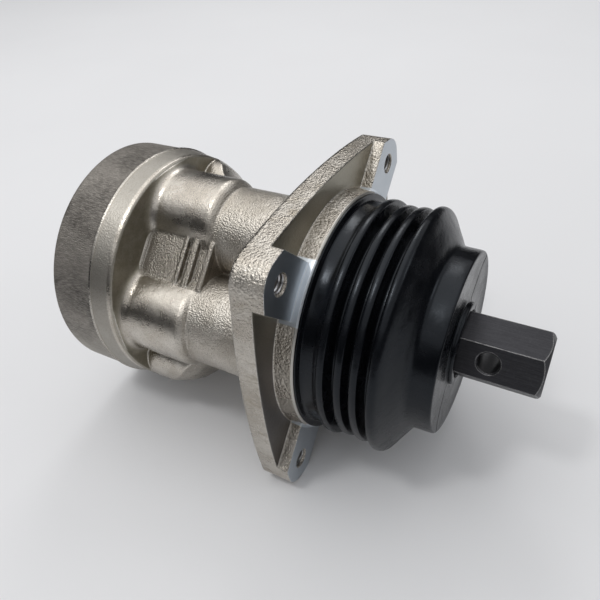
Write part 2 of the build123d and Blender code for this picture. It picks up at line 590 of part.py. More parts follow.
def boot():
    """Rubber bellows from the body's ring to the lever bar, as one closed shell."""
    folds, hollows = bellows_outline()
    foot_z = RING_TOP_Z + BOOT_FOOT_GAP
    crest = BOOT_CREST_R[-1]
    last_z = BOOT_CREST_Z[-1]
    rim = BOOT_COLLAR_R
    lip = BOOT_LIP_R
    outer = [
        (RING_IN_R - 0.2, BOOT_BEAD_Z), (RING_IN_R - 0.2, foot_z), (BOOT_FOOT_R, foot_z), (BOOT_FOOT_R, foot_z + 0.7),
        (BOOT_NECK_R + 0.4, foot_z + 0.9), (BOOT_NECK_R, foot_z + 1.6), (BOOT_NECK_R, BOOT_CREST_Z[0] - 3.4),
        (BOOT_NECK_R + 0.6, BOOT_CREST_Z[0] - 2.5)]
    outer += folds
    outer += [
        (crest - 0.8, last_z - 1.2), (crest, last_z - 0.3), (crest - 0.2, last_z + 0.9), (40.8, 33.7), (35.4, 37.2),
        (rim, BOOT_COLLAR_Z), (rim, BOOT_RIM_Z - 0.8), (rim - 0.8, BOOT_RIM_Z), (29.3, BOOT_RIM_Z - 0.6),
        (lip + 2, 44.9), (lip, 45.4), (lip, BOOT_LIP_TOP_Z - 0.8), (lip - 0.8, BOOT_LIP_TOP_Z)]
    inner = [
        (10.0, BOOT_LIP_TOP_Z), (10.0, 42.2), (29.6, 42.2), (31.2, 40.4), (31.2, 37.6), (38.8, 32.2),
        (43.0, last_z - 0.2)]
    inner += hollows[::-1]
    inner += [
        (BOOT_NECK_R - BOOT_WALL, 6.5), (BOOT_NECK_R - BOOT_WALL, PLATE_LIP_Z - 0.3),
        (PLATE_R + 0.3, PLATE_LIP_Z - 0.3), (PLATE_R + 0.3, BOOT_BEAD_Z)]
    return turned(outer + inner) - hexagon(BAR_AF + 0.4, 30, 60, BAR_ANGLE)


# ---------------------------------------------------------------- write every node
save("valve_body", valve_body())
save("retaining_plate", retaining_plate())
save("plate_screws", ring_of(plate_screw(), EAR_ANGLES, PLATE_SCREW_PITCH_R))
save("guide_o_rings", ring_of(guide_o_ring(), BORE_ANGLES, BORE_PITCH_R))
save("rod_seals", ring_of(rod_seal(), BORE_ANGLES, BORE_PITCH_R))

return_spring = coil(RETURN_SPRING_R, RETURN_WIRE, RETURN_TURNS, CHAMBER_FLOOR_Z + 0.1, PLUNGER_BOTTOM_Z - SEAT_T - 0.1)
control_spring = coil(
    CONTROL_SPRING_R, CONTROL_WIRE, CONTROL_TURNS, SPOOL_COLLAR_Z + SPOOL_COLLAR_H + 0.1,
    PLUNGER_BOTTOM_Z - SEAT_T - 0.1)
valve_pieces = {
    "plunger_guide": plunger_guide(), "plunger": plunger(), "spring_seat": spring_seat(), "spool": spool(),
    "return_spring": return_spring, "control_spring": control_spring}
for number, angle in enumerate(BORE_ANGLES, start=1):
    for name, piece in valve_pieces.items():
        save(f"{name}_{number}", at(angle, BORE_PITCH_R) * piece)

save("lower_yoke", lower_yoke())
save("joint_cross", joint_cross())
save("lower_bushes", ring_of(trunnion_bush(), (0, 180)))
save("upper_bushes", ring_of(trunnion_bush(), (90, 270)))
save("upper_yoke", upper_yoke())
save("swash_plate", swash_plate())
save("lock_nut", lock_nut())
save("lever_bar", lever_bar())
save("boot", boot())
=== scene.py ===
"""Hydraulic pilot joystick valve, dressed for its photograph: the valve lies on its side on a pale table.

Metres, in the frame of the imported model: +Z runs up the lever and the table is the plane on the +Y side.
"""
import math

import bmesh
import bpy
from mathutils import Matrix, Vector

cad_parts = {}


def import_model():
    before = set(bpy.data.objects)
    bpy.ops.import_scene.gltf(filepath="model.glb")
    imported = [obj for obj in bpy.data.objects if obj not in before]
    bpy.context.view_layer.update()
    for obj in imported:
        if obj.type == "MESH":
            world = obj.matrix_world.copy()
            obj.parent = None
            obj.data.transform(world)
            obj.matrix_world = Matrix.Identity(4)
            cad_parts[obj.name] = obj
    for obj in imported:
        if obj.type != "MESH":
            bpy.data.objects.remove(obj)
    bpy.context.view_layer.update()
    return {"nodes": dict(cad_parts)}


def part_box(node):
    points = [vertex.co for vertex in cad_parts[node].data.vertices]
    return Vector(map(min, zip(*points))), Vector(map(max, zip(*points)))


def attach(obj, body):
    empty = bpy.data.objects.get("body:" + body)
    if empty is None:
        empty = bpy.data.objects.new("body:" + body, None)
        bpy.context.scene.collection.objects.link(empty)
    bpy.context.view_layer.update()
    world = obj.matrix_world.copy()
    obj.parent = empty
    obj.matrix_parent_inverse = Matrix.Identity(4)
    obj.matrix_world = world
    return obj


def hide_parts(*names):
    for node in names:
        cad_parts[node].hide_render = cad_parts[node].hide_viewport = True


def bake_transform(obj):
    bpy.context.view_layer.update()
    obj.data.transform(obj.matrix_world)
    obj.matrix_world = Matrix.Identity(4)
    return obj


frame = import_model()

MM = 0.001
HALF_ROOT = 0.70711              # cosine of 45 degrees

# ---------------------------------------------------------------- dimensions, in millimetres
TABLE_Y = 52.2               # table plane: the flange's edge goes 3.1 past it, the port block stops 1.8 short
BLOCK_BOTTOM_Z = -104.0
BLOCK_SEAM_Z = -84.0         # parting line round the port block
BLOCK_TOP_Z = -74.5
FLANGE_BACK_Z = -12.0
FLANGE_FLOOR_Z = -4.5        # cast floor between the ears
CAVITY_Z = -6.0              # floor inside the ring
RING_IN_R = 44.0
RING_FOOT_R = 47.0
PAD_DISTANCE = 33.3          # web pads from the lever axis
PAD_TOP_Z = -44.0
BORE_PITCH_R = 25.0
BORE_ANGLES = [0, 90, 180, 270]
EAR_ANGLES = [45, 135, 225, 315]
EAR_PCR = 60.0
EAR_HOLE_R = 3.4
PORT_R = 5.9
PORT_PITCH_R = 33.0
PUMP_AND_TANK_ANGLES = [45, 225]
EAR_THREAD = {"depth": 0.42, "pitch": 1.25, "low_z": -11.4, "high_z": -0.5}        # M8
PORT_THREAD = {"depth": 0.55, "pitch": 1.337, "low_z": -103.2, "high_z": -92.0}    # G1/4
RETURN_SPRING = {"mean_r": 8.2, "wire_r": 0.8, "turns": 7}
CONTROL_SPRING = {"mean_r": 5.2, "wire_r": 0.65, "turns": 6}
MEETING_Z = 20.05            # groove where the two halves of the boot meet
BOOT_STEPS = 240             # divisions round the boot

scene = bpy.context.scene
scene.view_settings.view_transform = "Standard"


# ---------------------------------------------------------------- mesh helpers
def add_mesh(name, vertices, faces, smooth=True):
    """A new object from points in millimetres."""
    mesh = bpy.data.meshes.new(name)
    mesh.from_pydata([[c * MM for c in v] for v in vertices], [], faces)
    mesh.validate()
    for polygon in mesh.polygons:
        polygon.use_smooth = smooth
    obj = bpy.data.objects.new(name, mesh)
    scene.collection.objects.link(obj)
    return obj


def rounded(points, rounds=3):
    """Cuts the corners of an open line of (r, z) points until it is smooth. A doubled point stays sharper."""
    for _ in range(rounds):
        new = [points[0]]
        for a, b in zip(points, points[1:]):
            new.append(tuple(0.75 * p + 0.25 * q for p, q in zip(a, b)))
            new.append(tuple(0.25 * p + 0.75 * q for p, q in zip(a, b)))
        new.append(points[-1])
        points = new
    return points


def lathe(name, loop, steps=BOOT_STEPS):
    """Turns a closed loop of (r, z) points round the Z axis."""
    vertices, faces = [], []
    count = len(loop)
    for step in range(steps):
        angle = 2 * math.pi * step / steps
        c, s = math.cos(angle), math.sin(angle)
        vertices += [(r * c, r * s, z) for r, z in loop]
    for step in range(steps):
        a, b = step * count, (step + 1) % steps * count
        for i in range(count):
            j = (i + 1) % count
            faces.append((a + i, b + i, b + j, a + j))
    return add_mesh(name, vertices, faces)


def helix_tube(low_z, high_z, mean_r, wire_r, turns, steps=40, sides=12):
    """Points and faces of a round wire wound into a spring whose end coils lie flat."""
    flat = 0.75                  # part of a turn at each end that lies against its seat
    vertices, faces = [], []
    total = turns * steps
    for k in range(total + 1):
        turn = k / steps
        share = min(max((turn - flat) / (turns - 2 * flat), 0), 1)
        z = low_z + wire_r + (high_z - low_z - 2 * wire_r) * share
        angle = 2 * math.pi * turn
        for i in range(sides):
            a = 2 * math.pi * i / sides
            r = mean_r + wire_r * math.cos(a)
            vertices.append((r * math.cos(angle), r * math.sin(angle), z + wire_r * math.sin(a)))
    for k in range(total):
        for i in range(sides):
            j = (i + 1) % sides
            faces.append((k * sides + i, k * sides + j, (k + 1) * sides + j, (k + 1) * sides + i))
    faces.append(tuple(range(sides))[::-1])
    faces.append(tuple(total * sides + i for i in range(sides)))
    return vertices, faces


def thread_ridge(hole_r, depth, pitch, low_z, high_z, steps=40):
    """Points and faces of the helical ridge that a tap leaves standing on the wall of a hole."""
    root, crest = 0.46, 0.08     # half widths of the ridge, as shares of the pitch
    foot_r = hole_r + 0.03       # the foot of the ridge is buried in the wall
    thinnest = 0.02              # share of the depth that is left at the ends
    vertices, faces = [], []
    turns = (high_z - low_z) / pitch - 1
    total = int(turns * steps)
    for k in range(total + 1):
        angle = 2 * math.pi * k / steps
        z = low_z + pitch * (0.5 + k / steps)
        fade = min(1.0, k / (0.5 * steps), (total - k) / (0.5 * steps) + thinnest)
        inner = hole_r - depth * max(fade, thinnest)
        for r, dz in ((foot_r, -root), (inner, -crest), (inner, crest), (foot_r, root)):
            vertices.append((r * math.cos(angle), r * math.sin(angle), z + dz * pitch))
    for k in range(total):
        for i in range(4):
            j = (i + 1) % 4
            faces.append((k * 4 + i, (k + 1) * 4 + i, (k + 1) * 4 + j, k * 4 + j))
    faces.append((0, 1, 2, 3))
    faces.append(tuple(total * 4 + i for i in (3, 2, 1, 0)))
    return vertices, faces


def placed(shape, x, y):
    """The same points moved sideways."""
    vertices, faces = shape
    return [(vx + x, vy + y, vz) for vx, vy, vz in vertices], faces


def joined(shapes):
    """Several shapes as one list of points and one of faces."""
    vertices, faces = [], []
    for more, more_faces in shapes:
        base = len(vertices)
        vertices += more
        faces += [tuple(i + base for i in face) for face in more_faces]
    return vertices, faces


def on_circle(radius, angle):
    """x and y at an angle in degrees."""
    return radius * math.cos(math.radians(angle)), radius * math.sin(math.radians(angle))


def outward(obj):
    """Makes every face of a closed mesh look outwards."""
    mesh = bmesh.new()
    mesh.from_mesh(obj.data)
    bmesh.ops.recalc_face_normals(mesh, faces=mesh.faces)
    mesh.to_mesh(obj.data)
    mesh.free()
    return obj


# ---------------------------------------------------------------- material helpers
class Group:
    """Values kept together under their names."""


class Surface:
    """A material whose nodes are written as expressions, in millimetres of the part's own frame."""

    def __init__(self, name):
        self.material = bpy.data.materials.new(name)
        self.material.use_nodes = True
        self.nodes = self.material.node_tree.nodes
        self.links = self.material.node_tree.links
        self.shader = self.nodes["Principled BSDF"]
        coordinates = self.nodes.new("ShaderNodeTexCoord")
        scale = self.nodes.new("ShaderNodeVectorMath")
        scale.operation = "SCALE"
        scale.inputs["Scale"].default_value = 1000.0
        self.links.new(coordinates.outputs["Object"], scale.inputs[0])
        self.p = scale.outputs[0]
        split = self.nodes.new("ShaderNodeSeparateXYZ")
        self.links.new(self.p, split.inputs[0])
        self.x, self.y, self.z = split.outputs
        geometry = self.nodes.new("ShaderNodeNewGeometry")
        normal = self.nodes.new("ShaderNodeSeparateXYZ")
        self.links.new(geometry.outputs["Normal"], normal.inputs[0])
        self.nz = normal.outputs["Z"]

    def put(self, socket, value):
        """Links a socket or sets its value."""
        if isinstance(value, bpy.types.NodeSocket):
            self.links.new(value, socket)
        elif isinstance(value, tuple) and len(value) == 3 and socket.type == "RGBA":
            socket.default_value = (*value, 1.0)
        else:
            socket.default_value = value

    def math(self, operation, *values, clamp=False):
        node = self.nodes.new("ShaderNodeMath")
        node.operation = operation
        node.use_clamp = clamp
        for socket, value in zip(node.inputs, values):
            self.put(socket, value)
        return node.outputs[0]

    def add(self, a, b):
        return self.math("ADD", a, b)

    def sub(self, a, b):
        return self.math("SUBTRACT", a, b)

    def mul(self, a, b):
        return self.math("MULTIPLY", a, b)

    def both(self, *masks):
        """1 where every mask is 1."""
        result = masks[0]
        for mask in masks[1:]:
            result = self.mul(result, mask)
        return result

    def inverse(self, a):
        return self.math("SUBTRACT", 1.0, a, clamp=True)

    def above(self, value, low, high):
        """0 below low, 1 above high, smooth between."""
        node = self.nodes.new("ShaderNodeMapRange")
        node.interpolation_type = "SMOOTHSTEP"
        self.put(node.inputs["Value"], value)
        node.inputs["From Min"].default_value = low
        node.inputs["From Max"].default_value = high
        return node.outputs["Result"]

    def below(self, value, low, high):
        return self.inverse(self.above(value, low, high))

    def between(self, value, a, b, soft):
        """1 from a to b, with ends that fade over soft to either side."""
        return self.mul(self.above(value, a - soft, a + soft), self.below(value, b - soft, b + soft))

    def either(self, *masks):
        """1 where any mask is 1."""
        result = masks[0]
        for mask in masks[1:]:
            result = self.math("MAXIMUM", result, mask)
        return result

    def absolute(self, value):
        return self.math("ABSOLUTE", value)

    def radius(self):
        """Distance from the lever axis."""
        return self.math("SQRT", self.add(self.mul(self.x, self.x), self.mul(self.y, self.y)))

    def stretched(self, x, y, z):
        """The position, scaled along each axis: a small number draws a noise out along it."""
        node = self.nodes.new("ShaderNodeVectorMath")
        node.operation = "MULTIPLY"
        self.links.new(self.p, node.inputs[0])
        node.inputs[1].default_value = (x, y, z)
        return node.outputs[0]

    def noise(self, size, detail=3.0, roughness=0.55, vector=None, distortion=0.0):
        """Noise from about 0 to 1 with blotches about size millimetres across."""
        node = self.nodes.new("ShaderNodeTexNoise")
        self.links.new(vector or self.p, node.inputs["Vector"])
        node.inputs["Scale"].default_value = 1.0 / size
        node.inputs["Detail"].default_value = detail
        node.inputs["Roughness"].default_value = roughness
        node.inputs["Distortion"].default_value = distortion
        return node.outputs["Fac"]

    def grains(self, size, smooth=0.6):
        """Rounded pebbles about size millimetres across: 0 in the middle of each, 1 between them."""
        node = self.nodes.new("ShaderNodeTexVoronoi")
        node.feature = "SMOOTH_F1"
        self.links.new(self.p, node.inputs["Vector"])
        node.inputs["Scale"].default_value = 1.0 / size
        node.inputs["Smoothness"].default_value = smooth
        return node.outputs["Distance"]

    def mix(self, share, a, b):
        """Colour between a and b."""
        node = self.nodes.new("ShaderNodeMix")
        node.data_type = "RGBA"
        self.put(node.inputs[0], share)
        self.put(node.inputs[6], a)
        self.put(node.inputs[7], b)
        return node.outputs[2]

    def lerp(self, share, a, b):
        """Number between a and b."""
        node = self.nodes.new("ShaderNodeMix")
        node.data_type = "FLOAT"
        self.put(node.inputs[0], share)
        self.put(node.inputs[2], a)
        self.put(node.inputs[3], b)
        return node.outputs[0]

    def edge(self, radius_mm, low, high):
        """1 where an edge within radius turns the surface, 0 on flats."""
        bevel = self.nodes.new("ShaderNodeBevel")
        bevel.samples = 6
        bevel.inputs["Radius"].default_value = radius_mm * MM
        geometry = self.nodes.new("ShaderNodeNewGeometry")
        dot = self.nodes.new("ShaderNodeVectorMath")
        dot.operation = "DOT_PRODUCT"
        self.links.new(bevel.outputs["Normal"], dot.inputs[0])
        self.links.new(geometry.outputs["Normal"], dot.inputs[1])
        return self.above(self.sub(1.0, dot.outputs["Value"]), low, high)

    def soft_normal(self, radius):
        """Normal rounded at edges, by a radius in metres."""
        bevel = self.nodes.new("ShaderNodeBevel")
        bevel.samples = 8
        self.put(bevel.inputs["Radius"], radius)
        return bevel.outputs["Normal"]

    def relief(self, pattern, depth_mm):
        """Height in millimetres of a pattern from 0 to 1, about its middle."""
        return self.mul(self.sub(pattern, 0.5), depth_mm)

    def bump(self, height_mm, normal=None):
        """Bump from a height in millimetres."""
        node = self.nodes.new("ShaderNodeBump")
        node.inputs["Distance"].default_value = MM
        node.inputs["Strength"].default_value = 1.0
        self.put(node.inputs["Height"], height_mm)
        if normal is not None:
            self.links.new(normal, node.inputs["Normal"])
        return node.outputs["Normal"]

    def finish(self, colour, roughness, normal=None, metallic=1.0, **sockets):
        """Fills in the shader and gives back the material."""
        self.put(self.shader.inputs["Base Color"], colour)
        self.put(self.shader.inputs["Roughness"], roughness)
        self.put(self.shader.inputs["Metallic"], metallic)
        if normal is not None:
            self.links.new(normal, self.shader.inputs["Normal"])
        for name, value in sockets.items():
            self.put(self.shader.inputs[name.replace("_", " ")], value)
        return self.material


# ---------------------------------------------------------------- materials
def casting_regions(s):
    """Masks of the casting's regions, from each one's place on the part and its slope."""
    r, z = s.radius(), s.z
    face_up = s.above(s.nz, 0.80, 0.96)
    side = s.below(s.absolute(s.nz), 0.25, 0.6)
    outer_wall = s.mul(s.above(r, 45.5, 47.0), side)
    ring_side = s.both(
        s.above(z, -4.4, -4.0), s.below(r, RING_FOOT_R + 0.4, RING_FOOT_R + 0.8), s.above(r, 45.0, 45.6))
    off_ear = s.absolute(s.sub(s.absolute(s.x), s.absolute(s.y)))
    near_ear = s.below(off_ear, 15.5, 16.5)
    pad_distance = s.mul(s.absolute(s.sub(s.x, s.y)), HALF_ROOT)

    area = Group()
    area.side = side
    area.near_ear = near_ear
    area.ring_side = ring_side
    area.beyond_ring = s.above(r, 47.9, 48.5)
    area.block_low = s.mul(s.below(z, BLOCK_SEAM_Z - 0.3, BLOCK_SEAM_Z + 0.1), outer_wall)
    area.block_high = s.mul(s.between(z, BLOCK_SEAM_Z + 0.4, BLOCK_TOP_Z - 2.0, 0.4), outer_wall)
    area.block_seam = s.mul(s.between(z, BLOCK_SEAM_Z - 0.45, BLOCK_SEAM_Z + 0.45, 0.12), outer_wall)
    area.seam_shadow = s.mul(s.between(z, BLOCK_SEAM_Z + 0.5, BLOCK_SEAM_Z + 1.1, 0.15), outer_wall)
    area.valley = s.both(s.between(z, BLOCK_TOP_Z - 2.5, BLOCK_TOP_Z + 3.0, 0.8), s.above(s.nz, 0.55, 0.9))
    area.flange = s.above(z, FLANGE_BACK_Z - 0.6, FLANGE_BACK_Z + 0.1)
    area.ring_cut = s.mul(ring_side, s.either(s.above(z, 1.6, 1.9), near_ear))
    area.ear_face = s.both(
        s.above(z, -0.35, -0.05), s.above(r, RING_FOOT_R - 0.1, RING_FOOT_R + 0.3), face_up)
    area.recess = s.both(
        s.between(z, FLANGE_FLOOR_Z - 0.7, FLANGE_FLOOR_Z + 0.9, 0.3), s.above(r, 46.7, 47.2), face_up)
    area.inside = s.both(
        s.below(r, RING_IN_R - 0.3, RING_IN_R + 0.1), s.above(z, CAVITY_Z - 0.6, CAVITY_Z - 0.2))
    area.base_face = s.mul(
        s.below(z, BLOCK_BOTTOM_Z + 0.1, BLOCK_BOTTOM_Z + 0.3), s.below(s.nz, -0.9, -0.6))
    area.lobes = s.both(s.between(z, -47.0, FLANGE_BACK_Z, 2.5), s.inverse(area.flange))
    area.web_pad = s.both(
        s.between(pad_distance, PAD_DISTANCE - 2.3, PAD_DISTANCE + 1.3, 0.3),
        s.below(z, PAD_TOP_Z, PAD_TOP_Z + 1.0), s.above(z, BLOCK_TOP_Z + 0.1, BLOCK_TOP_Z + 0.9),
        s.below(s.absolute(s.add(s.x, s.y)), 13.0, 14.0))
    area.machined = s.either(area.ear_face, area.ring_cut, area.inside, area.base_face)
    area.upper = s.below(s.y, -22.0, 18.0)
    return area


def casting_noises(s, area):
    """Noises of the casting, from sand grains to broad clouds."""
    noise = Group()
    noise.blotch = s.noise(14.0, 4.0, 0.6)
    noise.cloud = s.noise(32.0, 3.0, 0.5)
    noise.tarnish = s.mul(s.above(s.noise(9.0, 5.0, 0.7), 0.52, 0.70), s.above(noise.cloud, 0.42, 0.62))
    noise.fine = s.noise(0.42, 3.0, 0.6)
    noise.grain = s.lerp(area.flange, s.grains(0.58), s.grains(0.86))
    noise.coarse = s.noise(3.2, 3.0, 0.6)
    noise.axial = s.noise(1.0, 4.0, 0.6, vector=s.stretched(2.4, 2.4, 0.45))
    noise.stripes = s.above(noise.axial, 0.30, 0.80)
    noise.scuff = s.noise(5.0, 5.0, 0.68, vector=s.stretched(1.0, 1.0, 0.35), distortion=0.4)
    noise.around = s.noise(1.0, 3.0, 0.5, vector=s.stretched(0.16, 0.16, 5.0))
    noise.ring_marks = s.noise(0.45, 2.0, 0.5)
    return noise


def block_low_colour(s, area, noise):
    """Lower band of the port block: dull, with fine stripes along the axis and dark patches."""
    colour = s.mix(noise.stripes, (0.235, 0.22, 0.20), (0.37, 0.345, 0.315))
    colour = s.mix(area.upper, s.mix(noise.blotch, (0.30, 0.28, 0.25), (0.40, 0.375, 0.335)), colour)
    broken = s.lerp(s.above(noise.axial, 0.35, 0.65), 1.0, 0.35)
    patches = s.mul(broken, s.above(s.noise(26.0, 4.0, 0.55), 0.40, 0.66))
    return s.mix(s.both(patches, s.lerp(area.upper, 0.45, 0.95)), colour, (0.07, 0.065, 0.06))


def casting_colour(s, area, noise):
    """Warm nickel, region by region, with painted reflections on the cut faces and painted shade in the
    recesses and the valley, then edges lightened as wear and as a painted highlight, dark hollows, and the
    parting line as a painted highlight beside a painted shadow.
    """
    colour = s.mix(s.above(noise.blotch, 0.35, 0.70), (0.43, 0.395, 0.345), (0.61, 0.575, 0.52))
    # valley: the block's top between the elbows, darker and browner; the brown is the metal's tone, the
    # darkness a painted shade in the crease
    valley = s.mul(area.valley, s.lerp(s.above(noise.coarse, 0.3, 0.7), 0.95, 0.75))
    dirt = s.both(area.flange, area.side, area.beyond_ring, s.above(noise.scuff, 0.5, 0.72))
    # painted shade: recesses on the table side, with y above -10, are much darker than those away from it,
    # standing in for shade and the dark surroundings reflected there
    recess = s.mix(s.below(s.y, -42.0, -10.0), (0.155, 0.145, 0.14), (0.33, 0.31, 0.255))
    # ear faces: machined metal, with a painted reflection giving the blue tint of the surroundings
    ear_face = s.mix(noise.around, (0.46, 0.50, 0.54), (0.56, 0.60, 0.64))
    # cut ring wall: warm grey away from the ears; near the ears a paler blue, which is a painted reflection
    ring_cut = s.mix(area.near_ear, (0.50, 0.485, 0.45), (0.72, 0.77, 0.82))
    turned = s.mix(noise.around, (0.55, 0.55, 0.54), (0.66, 0.66, 0.65))
    hollow = s.both(s.above(noise.fine, 0.48, 0.68), s.inverse(area.machined), s.lerp(area.lobes, 0.45, 0.75))
    for mask, over in (
        (s.mul(s.above(noise.cloud, 0.45, 0.75), 0.5), (0.50, 0.455, 0.385)),
        (s.mul(noise.tarnish, 0.45), (0.31, 0.275, 0.225)),
        (valley, (0.27, 0.25, 0.195)),
        (s.mul(area.block_high, 0.8), (0.33, 0.315, 0.285)),
        (s.mul(area.web_pad, 0.75), (0.33, 0.305, 0.265)),
        (area.block_low, block_low_colour(s, area, noise)),
        (dirt, (0.36, 0.32, 0.26)),
        (area.recess, recess),
        (area.ear_face, ear_face),
        (area.ring_cut, ring_cut),
        (s.either(area.inside, area.base_face), turned),
        # edges lightened: worn metal on the outer edges, and on the fillets a painted highlight
        (s.mul(s.edge(0.9, 0.04, 0.30), 0.6), (0.86, 0.84, 0.79)),
        (hollow, (0.20, 0.18, 0.15)),
        # painted shadow along the upper side of the parting line, then the parting line itself painted bright
        # as a highlight
        (area.seam_shadow, (0.34, 0.315, 0.275)),
        (area.block_seam, (0.90, 0.88, 0.84)),
    ):
        colour = s.mix(mask, colour, over)
    return colour


def casting_roughness(s, area, noise):
    """Brightest where it is plated smooth, duller where it is cut or cast rough."""
    rough = s.lerp(s.above(noise.blotch, 0.3, 0.7), 0.23, 0.31)
    for mask, over in (
        (area.lobes, 0.34),
        (area.block_high, 0.44),
        (area.block_low, s.lerp(noise.stripes, 0.62, 0.42)),
        (area.valley, 0.55),
        (area.recess, 0.38),
        (area.ear_face, 0.36),
        (area.ring_cut, 0.42),
    ):
        rough = s.lerp(mask, rough, over)
    return rough


def casting_height(s, area, noise):
    """Sand grain, waves, stripes and cutting marks, in millimetres."""
    cast = s.inverse(area.machined)
    sand = s.lerp(area.lobes, 0.11, 0.36)
    for mask, over in (
        (area.web_pad, 0.50),
        (area.block_high, 0.12),
        (s.mul(area.flange, cast), 0.44),
        (s.mul(area.ring_side, cast), 0.62),
        (area.recess, 0.06),
        (area.machined, 0.0),
    ):
        sand = s.lerp(mask, sand, over)
    height = s.mul(s.sub(0.5, noise.grain), s.mul(sand, 0.50))
    for pattern, depth in (
        (noise.fine, s.mul(sand, 0.42)),
        (noise.coarse, s.lerp(area.machined, 0.12, 0.0)),
        (noise.axial, s.both(area.block_low, area.upper, 0.30)),
        (noise.around, s.mul(area.machined, 0.02)),
        (noise.ring_marks, s.mul(area.machined, 0.01)),
    ):
        height = s.add(height, s.relief(pattern, depth))
    return height


def casting_material():
    """Nickel-plated casting: sand texture on the cast faces, cut marks on the machined ones."""
    s = Surface("nickel_casting")
    area = casting_regions(s)
    noise = casting_noises(s, area)
    soft = s.soft_normal(s.lerp(s.either(area.machined, area.block_seam), 1.5 * MM, 0.25 * MM))
    bump = s.bump(casting_height(s, area, noise), normal=soft)
    return s.finish(casting_colour(s, area, noise), casting_roughness(s, area, noise), bump)


def steel_material(name, dark, light, rough_low, rough_high, along=(0.2, 0.2, 6.0), edge_mm=0.3):
    """Turned or ground steel with fine marks round the axis."""
    s = Surface(name)
    marks = s.noise(1.0, 3.0, 0.6, vector=s.stretched(*along))
    stain = s.noise(6.0, 3.0, 0.55)
    colour = s.mix(s.above(marks, 0.3, 0.7), dark, light)
    colour = s.mix(s.mul(s.above(stain, 0.55, 0.8), 0.35), colour, tuple(c * 0.6 for c in dark))
    worn = s.edge(edge_mm, 0.04, 0.3)
    colour = s.mix(s.mul(worn, 0.5), colour, tuple(min(1.0, c * 1.3) for c in light))
    rough = s.lerp(stain, rough_low, rough_high)
    return s.finish(colour, rough, s.bump(s.relief(marks, 0.015), normal=s.soft_normal(edge_mm * MM)))


def oxide_material():
    """Black oxide on the hexagon bar, worn bright along its edges."""
    s = Surface("black_oxide_bar")
    worn = s.edge(0.85, 0.03, 0.22)
    patch = s.noise(2.2, 4.0, 0.65)
    drawn = s.noise(1.0, 3.0, 0.6, vector=s.stretched(2.2, 2.2, 0.12))
    mottle = s.noise(0.7, 3.0, 0.6)
    colour = s.mix(s.above(drawn, 0.3, 0.75), (0.030, 0.030, 0.034), (0.046, 0.046, 0.051))
    colour = s.mix(s.mul(s.above(mottle, 0.45, 0.8), 0.4), colour, (0.070, 0.070, 0.076))
    bright = s.mul(worn, s.above(patch, 0.22, 0.50))
    colour = s.mix(bright, colour, (0.62, 0.615, 0.61))
    rough = s.lerp(s.above(mottle, 0.3, 0.75), 0.34, 0.50)
    height = s.add(s.relief(drawn, 0.03), s.relief(mottle, 0.03))
    return s.finish(colour, rough, s.bump(height, normal=s.soft_normal(0.35 * MM)), metallic=0.75)


def rubber_material():
    """Black moulded rubber with a fine parting line, flow marks and a little dust."""
    s = Surface("boot_black_rubber")
    across = s.absolute(s.mul(s.sub(s.x, s.y), HALF_ROOT))
    wander = s.relief(s.noise(7.0, 2.0, 0.5), 0.5)
    seam = s.below(s.add(across, wander), 0.34, 0.52)
    seam = s.mul(seam, s.above(s.z, 28.0, 29.5))
    fine = s.noise(0.35, 3.0, 0.6)
    skin = s.noise(6.0, 3.0, 0.5)
    dust = s.mul(s.above(s.noise(3.0, 5.0, 0.7), 0.60, 0.85), s.above(skin, 0.45, 0.7))
    colour = s.mix(s.above(skin, 0.3, 0.7), (0.0022, 0.0026, 0.0036), (0.0042, 0.0047, 0.0062))
    colour = s.mix(s.mul(dust, 0.20), colour, (0.040, 0.040, 0.042))
    colour = s.mix(seam, colour, (0.0015, 0.0015, 0.0015))
    rough = s.lerp(s.above(skin, 0.3, 0.75), 0.22, 0.30)
    rough = s.lerp(seam, s.add(rough, s.mul(dust, 0.12)), 1.0)
    height = s.mul(seam, -0.32)
    height = s.add(height, s.relief(fine, 0.010))
    height = s.add(height, s.relief(skin, 0.16))
    turn = s.math("ARCTAN2", s.y, s.x)
    creases = s.math("SINE", s.add(s.mul(turn, 110.0), s.mul(s.noise(4.0, 2.0, 0.5), 9.0)))
    foot = s.both(s.between(s.z, 7.6, 9.6, 0.7), s.above(s.noise(9.0, 2.0, 0.5), 0.50, 0.62))
    height = s.add(height, s.mul(s.mul(foot, creases), 0.02))
    return s.finish(
        colour, rough, s.bump(height), metallic=0.0, Specular_IOR_Level=0.28, Specular_Tint=(0.82, 0.90, 1.0))


def table_material():
    """Pale table that is seen only from its upper side."""
    s = Surface("pale_table")
    cloud = s.noise(160.0, 3.0, 0.5)
    speck = s.noise(0.8, 2.0, 0.5)
    colour = s.mix(cloud, (0.77, 0.77, 0.78), (0.81, 0.81, 0.82))
    s.finish(colour, 0.9, s.bump(s.relief(speck, 0.02)), metallic=0.0, Specular_IOR_Level=0.0)
    clear = s.nodes.new("ShaderNodeBsdfTransparent")
    choose = s.nodes.new("ShaderNodeMixShader")
    geometry = s.nodes.new("ShaderNodeNewGeometry")
    s.links.new(geometry.outputs["Backfacing"], choose.inputs[0])
    s.links.new(s.shader.outputs[0], choose.inputs[1])
    s.links.new(clear.outputs[0], choose.inputs[2])
    s.links.new(choose.outputs[0], s.nodes["Material Output"].inputs["Surface"])
    return s.material


def plain_material(name, dark, light, rough):
    """Dull material with a faint mottle, for seals and for the studio's cloth."""
    s = Surface(name)
    colour = s.mix(s.noise(1.5, 3.0, 0.6), dark, light)
    return s.finish(colour, rough, s.bump(s.relief(s.noise(0.4, 2.0, 0.5), 0.02)), metallic=0.0)


